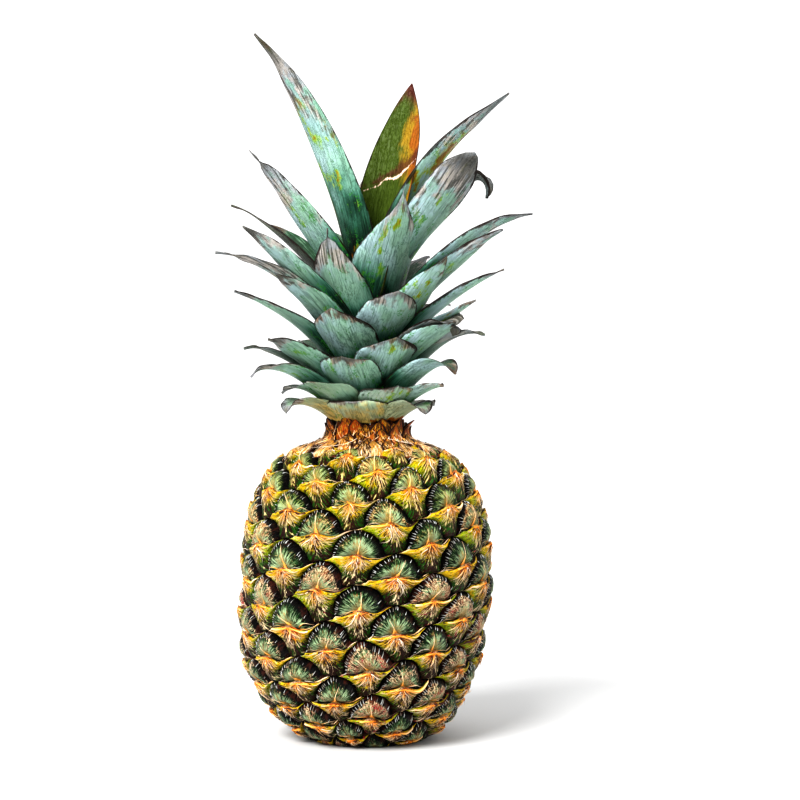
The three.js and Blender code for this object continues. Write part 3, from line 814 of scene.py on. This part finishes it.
def build_blades(name, blades, material):
    """Closed blades as one mesh, each from the grid of its points and the values at them."""
    all_points, all_faces, all_values = [], [], {}
    offset = 0
    for points, values in blades:
        stations, ring, _ = points.shape
        all_points.append(points.reshape(-1, 3))
        all_faces.append(blade_faces(stations, ring) + offset)
        for key, numbers in values.items():
            all_values.setdefault(key, []).append(numbers.ravel())
        offset += stations * ring
    joined = {key: np.concatenate(parts) for key, parts in all_values.items()}
    return build_mesh(name, np.concatenate(all_points), np.concatenate(all_faces), material, **joined)


def leaves(name, rows, first_number, material):
    blades = [leaf_grid(row, number) for number, row in enumerate(rows, first_number)]
    return build_blades(name, blades, material)


LEAF_BLUE = (0.45, 0.61, 0.64)
LEAF_MINT = (0.31, 0.50, 0.38)
LEAF_AQUA = (0.085, 0.24, 0.175)
LEAF_GREEN = (0.016, 0.085, 0.042)
LEAF_SAGE = (0.46, 0.52, 0.33)
LEAF_SCRATCH = (0.050, 0.300, 0.030)
LEAF_ROOT_SHADE = (0.002, 0.011, 0.006)
LEAF_LIME = (0.34, 0.52, 0.012)
LEAF_INNER = (0.022, 0.065, 0.030)
LEAF_INNER_PALE = (0.14, 0.26, 0.17)
LEAF_OLIVE = (0.052, 0.084, 0.004)
LEAF_YELLOW = (0.29, 0.18, 0.010)
LEAF_ORANGE = (0.30, 0.095, 0.006)
LEAF_MAROON = (0.075, 0.014, 0.006)
LEAF_BEIGE = (0.52, 0.46, 0.42)
LEAF_GREY = (0.40, 0.40, 0.43)
LEAF_RUST = (0.36, 0.20, 0.11)
LEAF_BROWN = (0.018, 0.009, 0.006)
LEAF_SHADE_OLIVE = (0.085, 0.110, 0.055)
LEAF_STRAW = (0.62, 0.46, 0.14)
LEAF_SCAR = (0.90, 0.62, 0.50)


def leaf_material():
    material, start = new_material("waxy_leaf")
    along, across, wide, long = start.values("along across wide long")
    seed, dry, yellow, low = start.values("seed dry yellow low")
    red, inner, shaded, foot = start.values("red inner dark foot")
    red = red.rise(0.15, 0.5)
    edge = across.math("ABSOLUTE")

    def grain(across_grain, along_grain, shift, detail, roughness=0.6):
        place = start.vector(wide * across_grain, long * along_grain, seed * 40 + shift)
        return start.noise(place, 1.0, detail, roughness)

    clouds = grain(0.9, 0.45, 0, 3).rise(0.35, 0.65)
    drifts = grain(0.7, 0.35, 7, 2).rise(0.38, 0.62)
    blots = grain(2.4, 1.2, 13, 4, 0.65).rise(0.36, 0.64)
    fine = grain(15, 0.9, 3, 3).rise(0.34, 0.66)
    veins = (grain(6, 0.22, 19, 2) - 0.5).math("ABSOLUTE").rise(0.022, 0.0)
    crackle = (grain(4.5, 2.2, 23, 4, 0.7) - 0.5).math("ABSOLUTE").rise(0.04, 0.0)

    # Live blade: blue-green under a pale wax, darker aqua and green towards its root, partly its own colour
    # and partly painted shade, and painted near-black shade at the root, with dark veins and a net of fine
    # cracks
    tall = (long * 0.11).math("MINIMUM", 1)
    wax = (clouds * 0.5 + tall * 0.3 - across * 0.25 + fine * 0.05).rise(0.2, 0.95)
    colour = wax.mix(LEAF_MINT, LEAF_BLUE)
    colour = (tall.rise(0.7, 1.0) * 0.36).mix(colour, LEAF_AQUA)
    length_shift = 0.02 + tall * 0.11 + (1 - tall) * (1 - tall) * 0.16
    depth = along + drifts * 0.10 + fine * 0.03 - edge * 0.05 + length_shift
    # Towards the root: aqua and green, partly the leaf's own colour and partly painted shade, then painted
    # near-black shade where the leaves overlap
    colour = depth.rise(0.72, 0.46).mix(colour, LEAF_AQUA)
    colour = depth.rise(0.60, 0.38).mix(colour, LEAF_GREEN)
    colour = (depth + fine * 0.04).rise(0.56, 0.36).mix(colour, LEAF_ROOT_SHADE)
    colour = (low * (0.3 + 0.6 * clouds)).mix(colour, LEAF_SAGE)
    stain = (low * yellow * (blots * 0.5 + drifts * 0.5 + (1 - along) * 0.4)).rise(0.25, 0.65)
    colour = (stain * 0.75).mix(colour, LEAF_STRAW)
    colour = (veins * 0.3).mix(colour, LEAF_GREEN)
    colour = (fine.rise(0.6, 1.0) * 0.07).mix(colour, LEAF_GREEN)
    netted = (drifts * 0.5 + blots * 0.4 + (1 - along) * 0.3 + (seed - 0.5) * 0.3).rise(0.62, 0.90)
    colour = (crackle * netted * 0.5).mix(colour, LEAF_GREEN)

    # Rubbed patches: green scratches, then lime with an orange heart
    rubbed = (blots * 0.55 + crackle * 0.25 + (1 - drifts) * 0.3 + yellow * 0.1).rise(0.80, 0.92)
    colour = (rubbed * 0.85).mix(colour, LEAF_SCRATCH)
    patch = blots * 0.30 + (1 - drifts) * 0.4 + yellow * 0.35 - edge * 0.15 + fine * 0.06 + along * 0.1
    colour = (patch.rise(0.74, 0.94) * along.rise(0.25, 0.5) * 0.85).mix(colour, LEAF_LIME)
    colour = (patch.rise(0.86, 1.00) * 0.8).mix(colour, LEAF_ORANGE)

    # The leaf at the back that has ripened to olive, yellow and orange, with a torn pale scar across it
    hump = ((along - 0.66) * 3).math("ABSOLUTE")
    ripe = clouds * 0.25 + fine * 0.1 - across * 0.6 - hump * 0.42
    ripened = ripe.rise(0.08, 0.34).mix(LEAF_OLIVE, LEAF_YELLOW)
    ripened = ripe.rise(0.36, 0.56).mix(ripened, LEAF_ORANGE)
    ripened = (along + clouds * 0.1 - across * 0.04).rise(0.86, 0.98).mix(ripened, LEAF_MAROON)
    level = along + across * 0.07 + (drifts - 0.5) * 0.02 - 0.50
    painted_rim_shade = ((level - 0.025).math("ABSOLUTE") + blots * 0.04 + across * 0.02).rise(0.065, 0.02)
    ripened = (painted_rim_shade * 0.8).mix(ripened, LEAF_MAROON)
    width = (1 - (across + 0.1).math("ABSOLUTE") * 1.1) * 0.009
    scar = (level.math("ABSOLUTE") + (fine - 0.5) * 0.007).rise(width + 0.002, width - 0.003)
    ripened = scar.mix(ripened, LEAF_SCAR)
    colour = red.mix(colour, ripened)
    inside = (fine * 0.4 + wax * 0.6).rise(0.45, 1.0).mix(LEAF_INNER, LEAF_INNER_PALE)
    hidden = inner * (1 - red) * (1 - low * 0.6)
    colour = hidden.mix(colour, inside)
    # Painted shade: a leaf with a negative red is darkened all over to brown and olive, for its shaded inside
    painted_leaf_shade = (fine * 0.6 + clouds * 0.4).rise(0.5, 0.9).mix(LEAF_BROWN, LEAF_SHADE_OLIVE)
    colour = shaded.mix(colour, painted_leaf_shade)

    # Dry tip and margins: beige and grey with dark brown cracks, rusty where it is short
    limit = along + (edge - 0.5) * 0.12 + (blots - 0.5) * 0.12 + (clouds - 0.5) * 0.16 + dry * 0.50
    dead = (limit + (fine - 0.5) * 0.06).rise(0.94, 1.10) * (1 - red) * (1 - shaded * 0.7)
    husk = (clouds * 0.6 + blots * 0.4).rise(0.3, 0.7).mix(LEAF_GREY, LEAF_BEIGE)
    husk = (dry.rise(0.40, 0.20) * blots.rise(0.2, 0.8) * 0.8).mix(husk, LEAF_RUST)
    streaks = grain(9, 0.3, 29, 2).rise(0.4, 0.6)
    cracked = (streaks * 0.5 + blots * 0.25 + fine * 0.25).rise(0.52, 0.80)
    husk = (cracked * along.rise(1.02, 0.80) * 0.8).mix(husk, LEAF_BROWN)
    husk = (along.rise(0.78, 0.95) * (clouds * 0.4 + 0.45)).mix(husk, LEAF_BROWN)
    colour = (dead * 0.9).mix(colour, husk)
    burnt = edge + (blots - 0.5) * 0.16 + along * 0.34 + across * (seed - 0.5) * 0.5
    colour = (burnt.rise(1.20, 1.32) * (1 - red) * 0.9).mix(colour, LEAF_BROWN)
    margin = (edge + (blots - 0.5) * 0.05).rise(0.95, 0.99)
    colour = (margin * 0.9).mix(colour, LEAF_BROWN)

    # Foot of the lowest leaves: straw and orange, and a painted dark brown shadow line where it ends
    foot = foot + (blots - 0.5) * 0.3
    colour = foot.rise(0.66, 0.4).mix(colour, clouds.rise(0.3, 0.7).mix(LEAF_STRAW, LEAF_ORANGE))
    # Painted shadow: a dark brown line along the foot's lower end
    colour = foot.rise(0.34, 0.18).mix(colour, LEAF_BROWN)
    ridges = start.bump(fine * 0.14 - veins * 0.45 - crackle * 0.25 - cracked * dead * 0.6, 0.0006, 1.0)
    surface(start, colour, 0.42 + 0.25 * wax + 0.2 * dead, ridges, Specular_IOR_Level=0.2)
    return material


leaf_finish = leaf_material()
crown_pieces = [
    leaves("lower_crown_leaves", FRONT_LEAVES[:MIDDLE_FIRST], 0, leaf_finish),
    leaves("middle_crown_leaves", FRONT_LEAVES[MIDDLE_FIRST:UPPER_FIRST], MIDDLE_FIRST, leaf_finish),
    leaves("upper_crown_leaves", FRONT_LEAVES[UPPER_FIRST:] + HEART_LEAVES, UPPER_FIRST, leaf_finish),
    leaves("back_crown_leaves", back_leaves(), BACK_FIRST, leaf_finish),
]
for piece in crown_pieces:
    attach(piece, "root")
    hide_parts("crown")


# Collar
# The neck between the fruit and the crown, wrapped in small dry bracts: thin, papery points that have turned
# orange and brown and lie against it or flare out.
BRACT_STATIONS = 12
BRACT_COLUMNS = 6
# For each ring of bracts: how many there are, the height of their feet, and how tall and how wide they are
COLLAR_RINGS = (
    (17, 0.1422, 0.0130, 0.0105),
    (15, 0.1443, 0.0120, 0.0105),
    (14, 0.1462, 0.0110, 0.0100),
    (13, 0.1488, 0.0095, 0.0095),
    (13, 0.1518, 0.0078, 0.0100),
)
FLARE_HEIGHT = 0.15
NECK_BOTTOM = 0.1415
NECK_DEPTH = 0.0012
NECK_ROWS = 24
NECK_COLUMNS = 160
NECK_FIBRES = 260
COLLAR_ORANGE = (0.62, 0.12, 0.007)
COLLAR_AMBER = (0.76, 0.34, 0.012)
COLLAR_GOLD = (0.78, 0.46, 0.07)
COLLAR_CREAM = (0.92, 0.70, 0.48)
COLLAR_BROWN = (0.035, 0.011, 0.006)
COLLAR_EDGE = (0.045, 0.013, 0.006)
NECK_BROWN = (0.012, 0.004, 0.002)
NECK_RUST = (0.22, 0.06, 0.01)


def collar_material():
    material, start = new_material("dry_bract")
    along, across, seed, low = start.values("along across seed low")
    lines = start.noise(start.vector(across * 6, along * 1.5, seed * 47), 2.4, 3, 0.6).rise(0.34, 0.66)
    patches = start.noise(start.vector(across * 1.5, along * 2, seed * 29), 2.0, 3, 0.6).rise(0.3, 0.7)
    colour = (patches * 0.6 + seed * 0.4).rise(0.35, 0.7).mix(COLLAR_ORANGE, COLLAR_AMBER)
    colour = (low * (0.5 + 0.5 * patches)).mix(colour, COLLAR_GOLD)
    pale = (lines * 0.7 + (1 - along) * 0.3 + patches * 0.3 + low * 0.25).rise(0.95, 1.25)
    colour = (pale * 0.9).mix(colour, COLLAR_CREAM)
    worn = ((1 - lines) * 0.8 + along * 0.15 + seed * 0.45).rise(0.66, 0.95)
    colour = worn.mix(colour, COLLAR_BROWN)
    edge = (across.math("ABSOLUTE") + along * 0.3 + (1 - lines) * 0.25).rise(0.85, 1.10)
    colour = edge.mix(colour, COLLAR_EDGE)
    surface(start, colour, 0.6, start.bump(lines, 0.0006, 1.0), Specular_IOR_Level=0.25)
    return material


def neck_material():
    material, start = new_material("neck_skin")
    mottle = start.noise(start.position(), 300.0, 4, 0.6).rise(0.4, 0.65)
    colour = mottle.mix(NECK_BROWN, NECK_RUST)
    surface(start, colour, 0.7, start.bump(mottle, 0.0006, 1.0), Specular_IOR_Level=0.2)
    return material


def length_at(height):
    """How far along the rind a height on its outline is."""
    return np.interp(height, outline_height, outline_length)


def bract_grid(number, turn, foot, tall, wide):
    """One bract as a grid of (stations, columns of both faces, 3), with the values that its finish needs."""
    t = np.linspace(0, 1, BRACT_STATIONS)[:, None]
    u = np.linspace(-1, 1, BRACT_COLUMNS + 1)[None]
    flare = (0.006 if foot > FLARE_HEIGHT else 0.0015) * chance(number, 82) ** 4
    flare = flare + 0.0003 * chance(number, 86)
    reach = tall * (0.7 + 0.5 * chance(number, 87))
    length = length_at(foot + 0.0014 * (chance(number, 88) - 0.5)) + reach * t + 0 * u
    half = 0.5 * wide * (0.75 + 0.5 * chance(number, 83)) * (1 - t**3.2) + 0.0002
    lean = 0.006 * (chance(number, 84) - 0.5) * t**2
    angle = turn + (half * u + lean) / np.interp(length, outline_length, outline_radius)
    faces = []
    for face in (1, -1):
        lift = 0.0006 + 0.0005 * t + flare * t**2 + face * 0.0003 - 0.0014 * u**2 * (1 - t)
        place = rind_point(angle, np.minimum(length, RIND_LENGTH), lift - 0.002 * (1 - t) ** 6)
        place[:, :, 2] += np.maximum(length - RIND_LENGTH, 0)
        faces.append(place)
    points = round_blade(*faces)
    seed = np.full(points.shape[:2], float(chance(number, 85)))
    low = np.full(points.shape[:2], float(smooth(foot, 0.148, 0.142)))
    return points, {**blade_places(t, u), "seed": seed, "low": low}


def collar_bracts():
    """The rings of bracts, each bract a little out of its place in its ring."""
    blades = []
    for count, foot, tall, wide in COLLAR_RINGS:
        for order in range(count):
            number = len(blades) + 1
            turn = 2 * math.pi * (order + 0.7 * chance(number, 81)) / count
            blades.append(bract_grid(number, turn, foot, tall, wide))
    return build_blades("collar_points", blades, collar_material())


def neck():
    """The neck that the bracts lie on, with a rough fibrous skin."""
    turn = np.linspace(0, 2 * math.pi, NECK_COLUMNS, endpoint=False)[None]
    t = np.linspace(0, 1, NECK_ROWS)[:, None]
    first = length_at(NECK_BOTTOM)
    length = first + (RIND_LENGTH - first) * t + 0 * turn
    rough = 0.0005 * np.sin(turn * 13 + 40 * t) * np.sin(turn * 29 - 25 * t)
    points = rind_point(turn + 0 * t, length, rough - NECK_DEPTH).reshape(-1, 3)
    return build_mesh("neck_skin", points, tube_faces(NECK_ROWS, NECK_COLUMNS), neck_material())


def neck_fibres():
    """Loose fibres that run down from the neck and out over the shoulder."""
    order = np.arange(NECK_FIBRES)[:, None]
    t = along_strand(7)
    turn = 2 * math.pi * chance(order, 91)
    run = 0.004 + 0.012 * chance(order, 93) ** 2
    length = length_at(0.1455 + 0.009 * chance(order, 92)) - run * t
    drift = 0.5 * (chance(order, 94) - 0.5)
    angle = turn + drift * t * run / 0.012 + 0.05 * np.sin(5 * t + 9 * turn)
    lift = 0.0009 + 0.0009 * chance(order, 95) * t + 0.0015 * chance(order, 96) ** 6 * t**2
    width = (0.0003 + 0.0004 * chance(order, 97) ** 2) * (1.1 - t)
    paths = rind_point(angle, length, lift)
    tone = 0.2 + 0.8 * t
    seed = chance(order, 98)
    return build_strands("neck_fibres", paths, width, fibre_material(), along=tone, seed=seed)


for piece in (collar_bracts(), neck(), neck_fibres()):
    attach(piece, "root")
    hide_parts("collar_bracts")


# Studio
# A white floor under an even pale sky, with one wide sun from the front left and above, and the camera level
# with the neck.
CAMERA_HEIGHT = 0.160
CAMERA_DISTANCE = 0.900
SENSOR_WIDTH = 36
PIXELS_PER_METRE = 2000
IMAGE_SIZE = 800
# The column of the photo's pixels on the fruit's axis, and the row level with the camera
AXIS_PIXEL = 367
LEVEL_PIXEL = 417
FLOOR_REACH = 6
FLOOR_WHITE = (0.60, 0.60, 0.60, 1)
SUN_FROM = (-0.50, -0.80, 0.80)
SUN_STRENGTH = 4.2
SUN_SPREAD = 28
SKY_WHITE = (1, 1, 1, 1)
SKY_STRENGTH = 0.90


def white_floor():
    mesh = bpy.data.meshes.new("floor")
    corners = [(x * FLOOR_REACH, y * FLOOR_REACH, 0) for x, y in ((-1, -1), (1, -1), (1, 1), (-1, 1))]
    mesh.from_pydata(corners, [], [(0, 1, 2, 3)])
    material, start = new_material("white_floor")
    surface(start, FLOOR_WHITE, 0.7, Specular_IOR_Level=0.1)
    mesh.materials.append(material)
    floor = bpy.data.objects.new("floor", mesh)
    bpy.context.scene.collection.objects.link(floor)


def sunlight():
    """A wide even light from one side, with soft edges to its shadows."""
    light = bpy.data.lights.new("key", "SUN")
    light.energy = SUN_STRENGTH
    light.angle = math.radians(SUN_SPREAD)
    holder = bpy.data.objects.new("key", light)
    holder.rotation_euler = Vector(SUN_FROM).to_track_quat("Z", "Y").to_euler()
    bpy.context.scene.collection.objects.link(holder)


def pale_sky():
    world = bpy.data.worlds.new("white")
    world.use_nodes = True
    background = world.node_tree.nodes["Background"]
    background.inputs["Color"].default_value = SKY_WHITE
    background.inputs["Strength"].default_value = SKY_STRENGTH
    bpy.context.scene.world = world


def camera():
    lens = bpy.data.cameras.new("camera")
    lens.sensor_width = SENSOR_WIDTH
    lens.lens = SENSOR_WIDTH * CAMERA_DISTANCE * PIXELS_PER_METRE / IMAGE_SIZE
    lens.shift_x = (IMAGE_SIZE / 2 - AXIS_PIXEL) / IMAGE_SIZE
    lens.shift_y = (LEVEL_PIXEL - IMAGE_SIZE / 2) / IMAGE_SIZE
    aim = bpy.data.objects.new("camera", lens)
    aim.location = (0, -CAMERA_DISTANCE, CAMERA_HEIGHT)
    aim.rotation_euler = (math.pi / 2, 0, 0)
    bpy.context.scene.collection.objects.link(aim)
    bpy.context.scene.camera = aim


white_floor()
sunlight()
pale_sky()
camera()
bpy.context.scene.view_settings.view_transform = "Standard"
bpy.context.scene.view_settings.look = "High Contrast"
